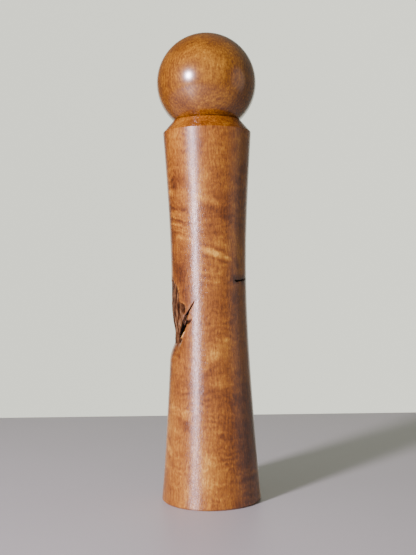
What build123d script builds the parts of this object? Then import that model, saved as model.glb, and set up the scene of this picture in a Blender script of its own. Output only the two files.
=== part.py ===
from build123d import *
import os
from math import cos, radians, tan

# A turned wooden pepper mill with a ball head. The head lifts off a hexagonal shaft to fill the
# body, and turning it drives a ceramic cone burr inside a fixed ceramic ring. The coarseness is
# set by a knob under the base, so that nothing breaks the ball's surface.
# Millimetres, +Z up, origin at the centre of the base, on the surface that the mill stands on.

# ---- Turned outline ----
HEIGHT = 300.0
BASE_R = 32.0
FOOT_CHAMFER = 1.1
LOWER_R, LOWER_Z = 27.8, 55.0
WAIST_R, WAIST_Z = 24.2, 145.0
SHOULDER_R, SHOULDER_Z = 28.3, 236.0
SEAT_R, SEAT_Z = 21.9, 243.5
BASE_SLOPE = (-0.11, 1.0)
SHOULDER_SLOPE = (0.063, 1.0)
SHOULDER_ROUND = 0.6
SEAT_ROUND = 0.4
BALL_R = 32.0
BALL_Z = HEIGHT - BALL_R

# ---- Bores in the body ----
RECESS_R, RECESS_DEPTH = 24.0, 14.0
BORE_R, BORE_TOP = 18.2, 50.5
HOPPER_R = 14.6
MOUTH_CHAMFER = 0.8

# ---- Head joint ----
HEAD_GAP = 0.3
TENON_R, TENON_LENGTH, TENON_CHAMFER = 14.2, 8.0, 0.6
HEAD_BORE_R, HEAD_BORE_TOP = 11.0, 266.0

# ---- Shaft, and the clearance between parts that turn or slide on each other ----
HEX_FLATS = 7.0
HEX_FIT = 0.05
SLIDE_FIT = 0.1
FACE_GAP = 0.05
SHAFT_TOP, SHAFT_CHAMFER, HEX_BOTTOM = 262.0, 0.8, 11.5
STUD_R, STUD_BOTTOM, STUD_CHAMFER = 2.4, 5.6, 0.5
GROOVE_R, GROOVE_HEIGHT = 3.0, 0.8
UPPER_CLIP_Z, LOWER_CLIP_Z = 50.05, 42.15
CLIP_R, CLIP_T, CLIP_PRONG_WIDTH, CLIP_MOUTH = 5.9, 0.7, 2.0, 3.2

# ---- Socket in the head ----
SOCKET_FLANGE_R, SOCKET_FLANGE_T = 13.4, 1.2
SOCKET_CORE_R, SOCKET_RIB_R = 10.4, 10.95
SOCKET_TOP, SOCKET_HEX_TOP = 265.2, 263.4
SOCKET_RIB_START, SOCKET_RIB_PITCH, SOCKET_RIB_COUNT, SOCKET_RIB_HEIGHT = 3.0, 7.0, 4, 2.0
SOCKET_HEX_FLATS = HEX_FLATS + 4 * HEX_FIT
LEAD_IN = 1.0
WIRE_CLIP_R, WIRE_CLIP_Z = 0.5, 255.0
WIRE_CLIP_END, WIRE_CLIP_BEND = -8.4, 4.8
SLOT_LENGTH, SLOT_BEND_LENGTH = 24.0, 12.0

# ---- Burrs and housing ----
HOUSING_R, HOUSING_TOP = 18.0, 50.0
FLANGE_R, FLANGE_T, FLANGE_ROUND = 23.6, 2.0, 0.5
SEAT_BORE_R, THROAT_R = 16.1, 14.6
RING_R, RING_BOTTOM, RING_TOP = 16.0, 14.0, 27.0
RING_LOW_R, RING_HIGH_R = 13.3, 10.6
RING_TEETH, RING_TOOTH_HALF_WIDTH = 36, 0.55
CONE_TEETH, CONE_TOOTH_HALF_WIDTH = 30, 0.58
TOOTH_DEPTH = 0.7
TOOTH_SLANT = 16.0
CONE_BOTTOM, CONE_TOP, CONE_RIM = 13.9, 26.5, 1.0
CONE_LOW_R, CONE_HIGH_R = 12.9, 8.2
GUIDE_BOTTOM, GUIDE_TOP = 43.0, 49.0
GUIDE_ARMS, GUIDE_ARM_WIDTH, GUIDE_HUB_R, GUIDE_RIDGE = 3, 2.6, 7.4, 0.9
BUSH_R, BUSH_FIT, BUSH_COLLAR_T = 5.0, 0.05, 0.9
RETAINER_R, RETAINER_BORE_R, RETAINER_T = 16.0, 14.0, 1.9
BEAD_R, BEAD_HEIGHT, BEAD_RISE = 0.35, 0.5, 1.0
BEAD_GROOVE_DEPTH, BEAD_GROOVE_HEIGHT = 0.4, 0.7
NOTCH_COUNT, NOTCH_LENGTH, NOTCH_WIDTH, NOTCH_DEPTH = 3, 1.6, 2.2, 1.0

# ---- Auger and spring ----
STEM_R, KEY_R, KEY_WIDTH = 6.0, 6.7, 2.4
HUB_R, CUP_R, CUP_FLOOR, CUP_TOP = 7.3, 6.1, 32.2, 37.6
VANE_COUNT, VANE_STEPS = 3, 4
VANE_R, VANE_TAPER, VANE_T, VANE_TWIST = 12.6, 2.4, 2.0, 55.0
VANE_BOTTOM, VANE_TOP = 28.0, 36.0
SPRING_R, WIRE_R, SPRING_COILS = 5.4, 0.4, 5
WASHER_R, WASHER_T = 6.4, 0.6

# ---- Knob and fasteners ----
KNOB_BOTTOM, KNOB_TOP = 4.6, 13.1
KNOB_R, LOBE_COUNT, LOBE_R, LOBE_CIRCLE_R, LOBE_FILLET = 8.8, 6, 2.6, 8.9, 1.0
KNOB_HUB_R, KNOB_SKIRT_Z, KNOB_CHAMFER = 8.6, 9.4, 0.5
POINTER_LENGTH, POINTER_WIDTH, POINTER_DEPTH = 3.2, 0.8, 0.6
THRUST_WASHER_R = 9.0
NUT_FLATS, NUT_BOTTOM, NUT_TOP = 8.0, 5.2, 9.6
SCREW_COUNT, SCREW_CIRCLE_R, SCREW_START = 3, 20.9, 90.0
SCREW_R, SCREW_HEAD_R, SCREW_LENGTH, SCREW_FIT = 1.4, 2.4, 11.0, 0.15
SCREW_SINK, SCREW_HEAD_T, SCREW_TIP = 0.1, 1.1, 2.0
CROSS_LENGTH, CROSS_WIDTH, CROSS_DEPTH, CROSS_TAPER = 2.6, 0.55, 0.9, 8.0

# Dots on the flange that grow from fine to coarse, beside the knob.
DOT_COUNT, DOT_START, DOT_STEP = 5, -26.0, 13.0
DOT_R, DOT_GROWTH, DOT_DEPTH = 0.35, 0.16, 0.5

# ---- Natural faults in the wood of the body, as angles round it, heights and depths ----
# A bark pocket on the left that ends in a rounded lip, a crack beside it, and a knot on the right.
POCKET_ANGLE, POCKET_HALF_WIDTH, OUTSIDE_R = 192.0, 14.5, 36.0
POCKET_TOP, POCKET_WAIST, POCKET_LIP, LIP_CREST, LIP_FOOT = (
    (25.2, 125.0),
    (22.4, 108.0),
    (21.7, 101.6),
    (24.4, 97.4),
    (26.3, 91.0),
)
CRACK_ANGLE, CRACK_Z, CRACK_DEPTH = 232.0, 115.0, 4.6
CHECK_ANGLE, CHECK_Z, CHECK_DEPTH = -33.0, 140.6, 1.6
PROUD = 3.0

Z_UP = Vector(0, 0, 1)
FLANGE_BOTTOM = RECESS_DEPTH - FLANGE_T
HEAD_SEAT_Z = SEAT_Z + HEAD_GAP
TENON_BOTTOM = HEAD_SEAT_Z - TENON_LENGTH
HEX_CORNER_R = HEX_FLATS / 2 / cos(radians(30))


def radial_plane(angle, radius, height):
    """A plane that faces outwards from the axis at that angle in degrees, with its X axis running
    round the body and its Y axis up."""
    facing = Vector(1, 0, 0).rotate(Axis.Z, angle)
    origin = facing * radius + Z_UP * height
    return Plane(origin=origin, x_dir=Z_UP.cross(facing), z_dir=facing)


def hex_across_x(flats):
    """A hexagon sketched in the current builder, with two of its flats facing +X and -X."""
    return RegularPolygon(flats / 2, 6, major_radius=False, rotation=30)


# ---- The bark pocket, the crack and the knot, as solids to cut away ----
facing_pocket = Vector(1, 0, 0).rotate(Axis.Z, POCKET_ANGLE)
pocket_plane = Plane(origin=(0, 0, 0), x_dir=facing_pocket, z_dir=facing_pocket.cross(Z_UP))
with BuildPart() as bark_pocket:
    with BuildSketch(pocket_plane):
        with BuildLine():
            Spline(POCKET_TOP, POCKET_WAIST, POCKET_LIP)
            Spline(POCKET_LIP, LIP_CREST, LIP_FOOT, tangents=((1, -0.5), (0.1, -1)))
            Polyline(
                LIP_FOOT,
                (OUTSIDE_R, LIP_FOOT[1]),
                (OUTSIDE_R, POCKET_TOP[1]),
                POCKET_TOP,
            )
        make_face()
    extrude(amount=POCKET_HALF_WIDTH, both=True)

crack_plane = radial_plane(CRACK_ANGLE, WAIST_R + 1.0 + PROUD, CRACK_Z)
with BuildPart() as bark_crack:
    with BuildSketch(crack_plane):
        with BuildLine():
            Spline((6.9, 13.2), (0.6, 3.2), (-6.9, -13.4))
            Spline((-6.9, -13.4), (-1.6, -4.8), (1.8, 3.0), (6.9, 13.2))
        make_face()
    extrude(amount=-PROUD - CRACK_DEPTH)

check_plane = radial_plane(CHECK_ANGLE, WAIST_R + PROUD, CHECK_Z)
with BuildPart() as knot_check:
    with BuildSketch(check_plane):
        with BuildLine():
            Spline((-7.6, 0.1), (0.5, 0.5), (7.4, 1.0))
            Spline((7.4, 1.0), (1.2, -0.7), (-7.6, 0.1))
        make_face()
    extrude(amount=-PROUD - CHECK_DEPTH)

# ---- Wooden body ----
with BuildPart() as mill_body:
    with BuildSketch(Plane.XZ):
        with BuildLine():
            Line((RECESS_R, 0), (BASE_R - FOOT_CHAMFER, 0))
            Line((BASE_R - FOOT_CHAMFER, 0), (BASE_R, FOOT_CHAMFER))
            Spline(
                (BASE_R, FOOT_CHAMFER),
                (LOWER_R, LOWER_Z),
                (WAIST_R, WAIST_Z),
                (SHOULDER_R, SHOULDER_Z),
                tangents=(BASE_SLOPE, SHOULDER_SLOPE),
            )
            Polyline(
                (SHOULDER_R, SHOULDER_Z),
                (SEAT_R, SEAT_Z),
                (HOPPER_R + MOUTH_CHAMFER, SEAT_Z),
                (HOPPER_R, SEAT_Z - MOUTH_CHAMFER),
                (HOPPER_R, BORE_TOP),
                (BORE_R, BORE_TOP),
                (BORE_R, RECESS_DEPTH),
                (RECESS_R, RECESS_DEPTH),
                (RECESS_R, 0),
            )
        make_face()
    revolve(axis=Axis.Z)
    shoulder_edge = edges().filter_by(GeomType.CIRCLE).filter_by_position(
        Axis.Z, SHOULDER_Z - 0.01, SHOULDER_Z + 0.01
    )
    fillet(shoulder_edge, SHOULDER_ROUND)
    seat_edge = edges().filter_by(GeomType.CIRCLE).group_by(Axis.Z)[-1].sort_by(SortBy.RADIUS)[-1]
    fillet(seat_edge, SEAT_ROUND)
    with BuildSketch(Plane.XY.offset(RECESS_DEPTH)):
        with PolarLocations(SCREW_CIRCLE_R, SCREW_COUNT, start_angle=SCREW_START):
            Circle(SCREW_R)
    extrude(amount=SCREW_LENGTH, mode=Mode.SUBTRACT)
    add(bark_pocket.part, mode=Mode.SUBTRACT)
    add(bark_crack.part, mode=Mode.SUBTRACT)
    add(knot_check.part, mode=Mode.SUBTRACT)
mill_body.part.label = "mill_body"

# ---- Wooden ball head, with a tenon that centres it in the body's mouth ----
ball_seat_r = (BALL_R**2 - (BALL_Z - HEAD_SEAT_Z) ** 2) ** 0.5
with BuildPart() as head_ball:
    with BuildSketch(Plane.XZ):
        with BuildLine():
            Line((0, HEAD_BORE_TOP), (0, HEIGHT))
            ThreePointArc((0, HEIGHT), (BALL_R, BALL_Z), (ball_seat_r, HEAD_SEAT_Z))
            Polyline(
                (ball_seat_r, HEAD_SEAT_Z),
                (TENON_R, HEAD_SEAT_Z),
                (TENON_R, TENON_BOTTOM),
                (HEAD_BORE_R, TENON_BOTTOM),
                (HEAD_BORE_R, HEAD_BORE_TOP),
                (0, HEAD_BORE_TOP),
            )
        make_face()
    revolve(axis=Axis.Z)
    tenon_edge = edges().filter_by(GeomType.CIRCLE).group_by(Axis.Z)[0].sort_by(SortBy.RADIUS)[-1]
    chamfer(tenon_edge, TENON_CHAMFER)
head_ball.part.label = "head_ball"

# ---- Plastic socket pressed into the ball, and the wire clip that grips the shaft in it ----
wire_clip_x = HEX_FLATS / 2 + HEX_FIT + WIRE_CLIP_R
slot_half_width = WIRE_CLIP_R + 2 * SLIDE_FIT
socket_bottom = TENON_BOTTOM - SOCKET_FLANGE_T
with BuildPart() as shaft_socket:
    with BuildSketch(Plane.XZ):
        with BuildLine():
            Polyline(
                (0, socket_bottom),
                (SOCKET_FLANGE_R, socket_bottom),
                (SOCKET_FLANGE_R, TENON_BOTTOM),
                (SOCKET_CORE_R, TENON_BOTTOM),
                (SOCKET_CORE_R, SOCKET_TOP),
                (0, SOCKET_TOP),
                (0, socket_bottom),
            )
        make_face()
        # Ribs that bite into the wood, each rooted inside the core.
        for rib in range(SOCKET_RIB_COUNT):
            rib_z = TENON_BOTTOM + SOCKET_RIB_START + rib * SOCKET_RIB_PITCH
            root_r = SOCKET_CORE_R - 1.0
            with BuildLine():
                Polyline(
                    (root_r, rib_z),
                    (SOCKET_RIB_R, rib_z),
                    (SOCKET_CORE_R, rib_z + SOCKET_RIB_HEIGHT),
                    (root_r, rib_z + SOCKET_RIB_HEIGHT),
                    (root_r, rib_z),
                )
            make_face()
    revolve(axis=Axis.Z)
    with BuildSketch(Plane.XY.offset(socket_bottom)):
        hex_across_x(SOCKET_HEX_FLATS)
    extrude(amount=SOCKET_HEX_TOP - socket_bottom, mode=Mode.SUBTRACT)
    with BuildSketch(Plane.XY.offset(socket_bottom)):
        Circle(HEX_CORNER_R + LEAD_IN)
    extrude(amount=2 * LEAD_IN, taper=30, mode=Mode.SUBTRACT)
    with BuildSketch(Plane.XY.offset(WIRE_CLIP_Z - slot_half_width)):
        with Locations((-wire_clip_x, 0), (wire_clip_x, 0)):
            Rectangle(2 * slot_half_width, SLOT_LENGTH)
        with Locations((0, WIRE_CLIP_BEND + SLOT_BEND_LENGTH / 2)):
            Rectangle(2 * (wire_clip_x + slot_half_width), SLOT_BEND_LENGTH)
    extrude(amount=2 * slot_half_width, mode=Mode.SUBTRACT)
shaft_socket.part.label = "shaft_socket"

with BuildPart() as socket_clip:
    with BuildLine(Plane.XY.offset(WIRE_CLIP_Z)) as clip_path:
        Line((-wire_clip_x, WIRE_CLIP_END), (-wire_clip_x, WIRE_CLIP_BEND))
        ThreePointArc(
            (-wire_clip_x, WIRE_CLIP_BEND),
            (0, WIRE_CLIP_BEND + wire_clip_x),
            (wire_clip_x, WIRE_CLIP_BEND),
        )
        Line((wire_clip_x, WIRE_CLIP_BEND), (wire_clip_x, WIRE_CLIP_END))
    with BuildSketch(Plane(origin=clip_path.line @ 0, z_dir=clip_path.line % 0)):
        Circle(WIRE_CLIP_R)
    sweep()
socket_clip.part.label = "socket_clip"

# ---- Plastic housing: flange screwed to the wood, burr seat, throat and a seat for the guide ----
with BuildPart() as burr_housing:
    with BuildSketch(Plane.XZ):
        with BuildLine():
            Polyline(
                (SEAT_BORE_R, FLANGE_BOTTOM),
                (FLANGE_R, FLANGE_BOTTOM),
                (FLANGE_R, RECESS_DEPTH),
                (HOUSING_R, RECESS_DEPTH),
                (HOUSING_R, HOUSING_TOP),
                (SEAT_BORE_R, HOUSING_TOP),
                (SEAT_BORE_R, GUIDE_BOTTOM),
                (THROAT_R, GUIDE_BOTTOM),
                (THROAT_R, RING_TOP),
                (SEAT_BORE_R, RING_TOP),
                (SEAT_BORE_R, FLANGE_BOTTOM),
            )
        make_face()
    revolve(axis=Axis.Z)
    # The bead groove that the retainer snaps into.
    with BuildSketch(Plane.XZ):
        with Locations((SEAT_BORE_R, FLANGE_BOTTOM + BEAD_RISE)):
            Rectangle(2 * BEAD_GROOVE_DEPTH, BEAD_GROOVE_HEIGHT)
    revolve(axis=Axis.Z, mode=Mode.SUBTRACT)
    flange_rim = edges().filter_by(GeomType.CIRCLE).group_by(Axis.Z)[0].sort_by(SortBy.RADIUS)[-1]
    fillet(flange_rim, FLANGE_ROUND)
    with Locations(Plane(origin=(0, 0, FLANGE_BOTTOM), z_dir=(0, 0, -1))):
        with PolarLocations(SCREW_CIRCLE_R, SCREW_COUNT, start_angle=SCREW_START):
            CounterSinkHole(SCREW_R + SCREW_FIT, SCREW_HEAD_R + SCREW_FIT, depth=FLANGE_T)
    with BuildSketch(Plane.XY.offset(FLANGE_BOTTOM)):
        for dot in range(DOT_COUNT):
            with PolarLocations(SCREW_CIRCLE_R, 1, start_angle=DOT_START + dot * DOT_STEP):
                Circle(DOT_R + dot * DOT_GROWTH)
    extrude(amount=DOT_DEPTH, mode=Mode.SUBTRACT)
burr_housing.part.label = "burr_housing"

# ---- Shaft guide: a hub on three arms, over the auger ----
with BuildPart() as shaft_guide:
    with BuildSketch(Plane.XY.offset(GUIDE_BOTTOM)):
        Circle(RING_R)
        Circle(THROAT_R, mode=Mode.SUBTRACT)
        with PolarLocations(RING_R / 2, GUIDE_ARMS, start_angle=60):
            Rectangle(RING_R - 1.0, GUIDE_ARM_WIDTH)
        Circle(GUIDE_HUB_R)
        Circle(BUSH_R + BUSH_FIT, mode=Mode.SUBTRACT)
    extrude(amount=GUIDE_TOP - GUIDE_BOTTOM)
    # The arms are ridged on top, so that peppercorns don't lie on them.
    guide_ridges = edges().filter_by(Axis.Z, reverse=True).group_by(Axis.Z)[-1].filter_by(GeomType.LINE)
    chamfer(guide_ridges, GUIDE_RIDGE)
shaft_guide.part.label = "shaft_guide"


def cone_radius(height, low, high):
    """The radius at a height on the cone through two (radius, height) points."""
    share = (height - low[1]) / (high[1] - low[1])
    return low[0] + (high[0] - low[0]) * share


def tooth_cutter(low, high, depth, half_width, beyond, slant):
    """A V-shaped bar along a cone's side, half_width wide each way at the surface. Its ridge lies at
    depth inside the surface for positive depth and outside it for negative. It stands proud of
    the surface by half as much, runs past both ends, and slants by that many degrees."""
    ends = []
    for height, turn in ((low[1] - beyond, 0), (high[1] + beyond, slant)):
        radius = cone_radius(height, low, high)
        ends.append((radius, height, turn))
    with BuildPart() as cutter:
        for radius, height, turn in ends:
            with BuildSketch(Plane.XY.offset(height).rotated((0, 0, turn))):
                with BuildLine():
                    Polyline(
                        (radius - depth, 0),
                        (radius + depth / 2, 1.5 * half_width),
                        (radius + depth / 2, -1.5 * half_width),
                        (radius - depth, 0),
                    )
                make_face()
        loft()
    return cutter.part


# ---- Fixed ceramic ring, toothed inside, and the plastic ring that snaps in under it ----
ring_low, ring_high = (RING_LOW_R, RING_BOTTOM), (RING_HIGH_R, RING_TOP)
ring_cutter = tooth_cutter(
    ring_low, ring_high, -TOOTH_DEPTH, RING_TOOTH_HALF_WIDTH, 1.0, -TOOTH_SLANT
)
with BuildPart() as ring_burr:
    with BuildSketch(Plane.XZ):
        with BuildLine():
            Polyline(
                ring_low,
                (RING_R, RING_BOTTOM),
                (RING_R, RING_TOP),
                ring_high,
                ring_low,
            )
        make_face()
    revolve(axis=Axis.Z)
    for tooth in range(RING_TEETH):
        add(ring_cutter.rotate(Axis.Z, tooth * 360 / RING_TEETH), mode=Mode.SUBTRACT)
ring_burr.part.label = "ring_burr"

bead_z = FLANGE_BOTTOM + BEAD_RISE
with BuildPart() as burr_retainer:
    with BuildSketch(Plane.XZ):
        with BuildLine():
            Polyline(
                (RETAINER_BORE_R, FLANGE_BOTTOM),
                (RETAINER_R, FLANGE_BOTTOM),
                (RETAINER_R, bead_z - BEAD_HEIGHT / 2),
                (RETAINER_R + BEAD_R, bead_z),
                (RETAINER_R, bead_z + BEAD_HEIGHT / 2),
                (RETAINER_R, FLANGE_BOTTOM + RETAINER_T),
                (RETAINER_BORE_R, FLANGE_BOTTOM + RETAINER_T),
                (RETAINER_BORE_R, FLANGE_BOTTOM),
            )
        make_face()
    revolve(axis=Axis.Z)
    # Notches for a spanner.
    with BuildSketch(Plane.XY.offset(FLANGE_BOTTOM)):
        with PolarLocations(RETAINER_BORE_R, NOTCH_COUNT, start_angle=30):
            Rectangle(NOTCH_LENGTH, NOTCH_WIDTH)
    extrude(amount=NOTCH_DEPTH, mode=Mode.SUBTRACT)
burr_retainer.part.label = "burr_retainer"

# ---- Fixing screws, with a cross recess, as one group ----
screw_shank_r = SCREW_R - SLIDE_FIT
screw_head_z = FLANGE_BOTTOM + SCREW_SINK
screw_end_z = FLANGE_BOTTOM + SCREW_LENGTH
with BuildPart() as one_screw:
    with BuildSketch(Plane.XZ):
        with BuildLine():
            Polyline(
                (0, screw_head_z),
                (SCREW_HEAD_R, screw_head_z),
                (screw_shank_r, screw_head_z + SCREW_HEAD_T),
                (screw_shank_r, screw_end_z - SCREW_TIP),
                (0, screw_end_z),
                (0, screw_head_z),
            )
        make_face()
    revolve(axis=Axis.Z)
    with BuildSketch(Plane.XY.offset(FLANGE_BOTTOM)):
        Rectangle(CROSS_LENGTH, CROSS_WIDTH)
        Rectangle(CROSS_WIDTH, CROSS_LENGTH)
    extrude(amount=CROSS_DEPTH, taper=CROSS_TAPER, mode=Mode.SUBTRACT)
with BuildPart() as housing_screws:
    with PolarLocations(SCREW_CIRCLE_R, SCREW_COUNT, start_angle=SCREW_START):
        add(one_screw.part)
housing_screws.part.label = "housing_screws"

# ---- Hexagonal aluminium shaft with a threaded stud below and two grooves for clips ----
with BuildPart() as drive_shaft:
    with BuildSketch(Plane.XY.offset(HEX_BOTTOM)):
        hex_across_x(HEX_FLATS)
    extrude(amount=SHAFT_TOP - HEX_BOTTOM)
    chamfer(faces().sort_by(Axis.Z)[-1].edges(), SHAFT_CHAMFER)
    with BuildSketch(Plane.XY.offset(STUD_BOTTOM)):
        Circle(STUD_R)
    extrude(amount=HEX_BOTTOM - STUD_BOTTOM)
    chamfer(edges().group_by(Axis.Z)[0], STUD_CHAMFER)
    for clip_z in (UPPER_CLIP_Z, LOWER_CLIP_Z):
        with BuildSketch(Plane.XY.offset(clip_z - FACE_GAP)):
            Circle(HEX_CORNER_R + 0.5)
            Circle(GROOVE_R, mode=Mode.SUBTRACT)
        extrude(amount=GROOVE_HEIGHT, mode=Mode.SUBTRACT)
drive_shaft.part.label = "drive_shaft"

# ---- Nylon bush: hexagonal inside, round outside, turning in the guide's hub ----
with BuildPart() as shaft_bush:
    with BuildSketch(Plane.XY.offset(GUIDE_BOTTOM)):
        Circle(BUSH_R)
    extrude(amount=GUIDE_TOP + BUSH_COLLAR_T / 2 - GUIDE_BOTTOM)
    with BuildSketch(Plane.XY.offset(GUIDE_TOP + FACE_GAP)):
        Circle(CLIP_R)
    extrude(amount=BUSH_COLLAR_T)
    with BuildSketch(Plane.XY.offset(GUIDE_BOTTOM)):
        hex_across_x(HEX_FLATS + 2 * HEX_FIT)
    extrude(amount=HOUSING_TOP - GUIDE_BOTTOM, mode=Mode.SUBTRACT)
shaft_bush.part.label = "shaft_bush"


def retaining_clip(bottom):
    """A spring-steel E-clip: an open ring with three prongs that reach into the shaft's groove."""
    with BuildPart() as clip:
        with BuildSketch(Plane.XY.offset(bottom)):
            Circle(CLIP_R)
            Circle(HEX_CORNER_R + 0.25, mode=Mode.SUBTRACT)
            with PolarLocations((GROOVE_R + CLIP_R) / 2 - 0.15, 3, start_angle=90):
                Rectangle(CLIP_R - GROOVE_R - 0.4, CLIP_PRONG_WIDTH)
            with Locations((0, -CLIP_R)):
                Rectangle(CLIP_MOUTH, CLIP_R, mode=Mode.SUBTRACT)
        extrude(amount=CLIP_T)
    return clip.part


upper_clip = retaining_clip(UPPER_CLIP_Z)
upper_clip.label = "upper_clip"
lower_clip = retaining_clip(LOWER_CLIP_Z)
lower_clip.label = "lower_clip"

# ---- Spring that holds the cone burr down on the knob, and the washer above it ----
washer_bottom = LOWER_CLIP_Z - FACE_GAP - WASHER_T
with BuildPart() as spring_washer:
    with BuildSketch(Plane.XY.offset(washer_bottom)):
        Circle(WASHER_R)
        Circle(HEX_CORNER_R + 0.15, mode=Mode.SUBTRACT)
    extrude(amount=WASHER_T)
spring_washer.part.label = "spring_washer"

spring_bottom = CUP_FLOOR + WIRE_R + FACE_GAP
spring_height = washer_bottom - WIRE_R - FACE_GAP - spring_bottom
with BuildPart() as burr_spring:
    with BuildLine(Plane.XY.offset(spring_bottom)) as coil:
        Helix(pitch=spring_height / SPRING_COILS, height=spring_height, radius=SPRING_R)
    with BuildSketch(Plane(origin=coil.line @ 0, z_dir=coil.line % 0)):
        Circle(WIRE_R)
    sweep(is_frenet=True)
burr_spring.part.label = "burr_spring"

# ---- Feed auger: a keyed stem for the cone burr, a hub with three slanted vanes, a spring cup ----
def helical_vane(start):
    """One vane of the auger, lofted through sections that turn and shorten as they rise, with its
    root inside the hub."""
    with BuildPart() as vane:
        for step in range(VANE_STEPS + 1):
            share = step / VANE_STEPS
            height = VANE_BOTTOM + share * (VANE_TOP - VANE_BOTTOM)
            length = VANE_R - VANE_TAPER * share - STEM_R - 0.8
            turn = start + share * VANE_TWIST
            with BuildSketch(Plane.XY.offset(height).rotated((0, 0, turn))):
                with Locations((STEM_R + 0.8 + length / 2, 0)):
                    Rectangle(length, VANE_T)
        loft()
    return vane.part


vanes = [helical_vane(index * 360 / VANE_COUNT) for index in range(VANE_COUNT)]
hub_bottom = CONE_TOP + SLIDE_FIT
with BuildPart() as feed_auger:
    with BuildSketch(Plane.XY.offset(CONE_BOTTOM)):
        Circle(STEM_R)
        Rectangle(2 * KEY_R, KEY_WIDTH)
    extrude(amount=hub_bottom - CONE_BOTTOM)
    with BuildSketch(Plane.XY.offset(hub_bottom)):
        Circle(HUB_R)
    extrude(amount=CUP_TOP - hub_bottom)
    for vane in vanes:
        add(vane)
    with BuildSketch(Plane.XY.offset(CUP_FLOOR)):
        Circle(CUP_R)
    extrude(amount=CUP_TOP - CUP_FLOOR, mode=Mode.SUBTRACT)
    with BuildSketch(Plane.XY.offset(CONE_BOTTOM)):
        hex_across_x(HEX_FLATS + 2 * HEX_FIT)
    extrude(amount=CUP_TOP - CONE_BOTTOM, mode=Mode.SUBTRACT)
feed_auger.part.label = "feed_auger"

# ---- Ceramic cone burr, toothed outside, keyed on the auger's stem ----
cone_low, cone_high = (CONE_LOW_R, CONE_BOTTOM + CONE_RIM), (CONE_HIGH_R, CONE_TOP)
cone_cutter = tooth_cutter(
    cone_low, cone_high, TOOTH_DEPTH, CONE_TOOTH_HALF_WIDTH, 2.5, TOOTH_SLANT
)
with BuildPart() as cone_burr:
    with BuildSketch(Plane.XZ):
        with BuildLine():
            Polyline(
                (0, CONE_BOTTOM),
                (CONE_LOW_R, CONE_BOTTOM),
                cone_low,
                cone_high,
                (0, CONE_TOP),
                (0, CONE_BOTTOM),
            )
        make_face()
    revolve(axis=Axis.Z)
    for tooth in range(CONE_TEETH):
        add(cone_cutter.rotate(Axis.Z, tooth * 360 / CONE_TEETH), mode=Mode.SUBTRACT)
    with BuildSketch(Plane.XY.offset(CONE_BOTTOM)):
        Circle(STEM_R + SLIDE_FIT)
        Rectangle(2 * (KEY_R + SLIDE_FIT), KEY_WIDTH + 2 * SLIDE_FIT)
    extrude(amount=CONE_TOP - CONE_BOTTOM, mode=Mode.SUBTRACT)
cone_burr.part.label = "cone_burr"

# ---- Thrust washer, knob and brass nut that set how far the cone burr rises into the ring ----
with BuildPart() as knob_washer:
    with BuildSketch(Plane.XY.offset(KNOB_TOP + FACE_GAP)):
        Circle(THRUST_WASHER_R)
        Circle(HEX_CORNER_R + 0.2, mode=Mode.SUBTRACT)
    extrude(amount=CONE_BOTTOM - KNOB_TOP - 2 * FACE_GAP)
knob_washer.part.label = "knob_washer"

with BuildPart() as adjusting_knob:
    with BuildSketch(Plane.XY.offset(KNOB_BOTTOM)):
        Circle(KNOB_R)
        with PolarLocations(LOBE_CIRCLE_R, LOBE_COUNT):
            Circle(LOBE_R)
        fillet(vertices(), LOBE_FILLET)
    extrude(amount=KNOB_SKIRT_Z - KNOB_BOTTOM)
    chamfer(faces().sort_by(Axis.Z)[0].edges(), KNOB_CHAMFER)
    with BuildSketch(Plane.XY.offset(KNOB_SKIRT_Z)):
        Circle(KNOB_HUB_R)
    extrude(amount=KNOB_TOP - KNOB_SKIRT_Z)
    with BuildSketch(Plane.XY.offset(KNOB_BOTTOM)):
        hex_across_x(NUT_FLATS + 2 * HEX_FIT)
    extrude(amount=NUT_TOP - KNOB_BOTTOM, mode=Mode.SUBTRACT)
    with BuildSketch(Plane.XY.offset(NUT_TOP)):
        Circle(HEX_CORNER_R + 0.4)
    extrude(amount=KNOB_TOP - NUT_TOP, mode=Mode.SUBTRACT)
    # A pointer groove on one lobe.
    with BuildSketch(Plane.XY.offset(KNOB_BOTTOM)):
        with Locations((LOBE_CIRCLE_R, 0)):
            Rectangle(POINTER_LENGTH, POINTER_WIDTH)
    extrude(amount=POINTER_DEPTH, mode=Mode.SUBTRACT)
adjusting_knob.part.label = "adjusting_knob"

with BuildPart() as knob_nut:
    with BuildSketch(Plane.XY.offset(NUT_BOTTOM)):
        hex_across_x(NUT_FLATS)
        Circle(STUD_R + SLIDE_FIT, mode=Mode.SUBTRACT)
    extrude(amount=NUT_TOP - FACE_GAP - NUT_BOTTOM)
knob_nut.part.label = "knob_nut"

# ---- One file for each piece ----
built = [
    mill_body.part,
    head_ball.part,
    shaft_socket.part,
    socket_clip.part,
    burr_housing.part,
    shaft_guide.part,
    ring_burr.part,
    burr_retainer.part,
    housing_screws.part,
    drive_shaft.part,
    shaft_bush.part,
    upper_clip,
    lower_clip,
    spring_washer.part,
    burr_spring.part,
    feed_auger.part,
    cone_burr.part,
    knob_washer.part,
    adjusting_knob.part,
    knob_nut.part,
]
os.makedirs("parts", exist_ok=True)
for piece in built:
    export_step(piece, f"parts/{piece.label}.step")
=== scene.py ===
import math
import random

import bpy
import numpy
from mathutils import Matrix, Vector, noise


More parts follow.
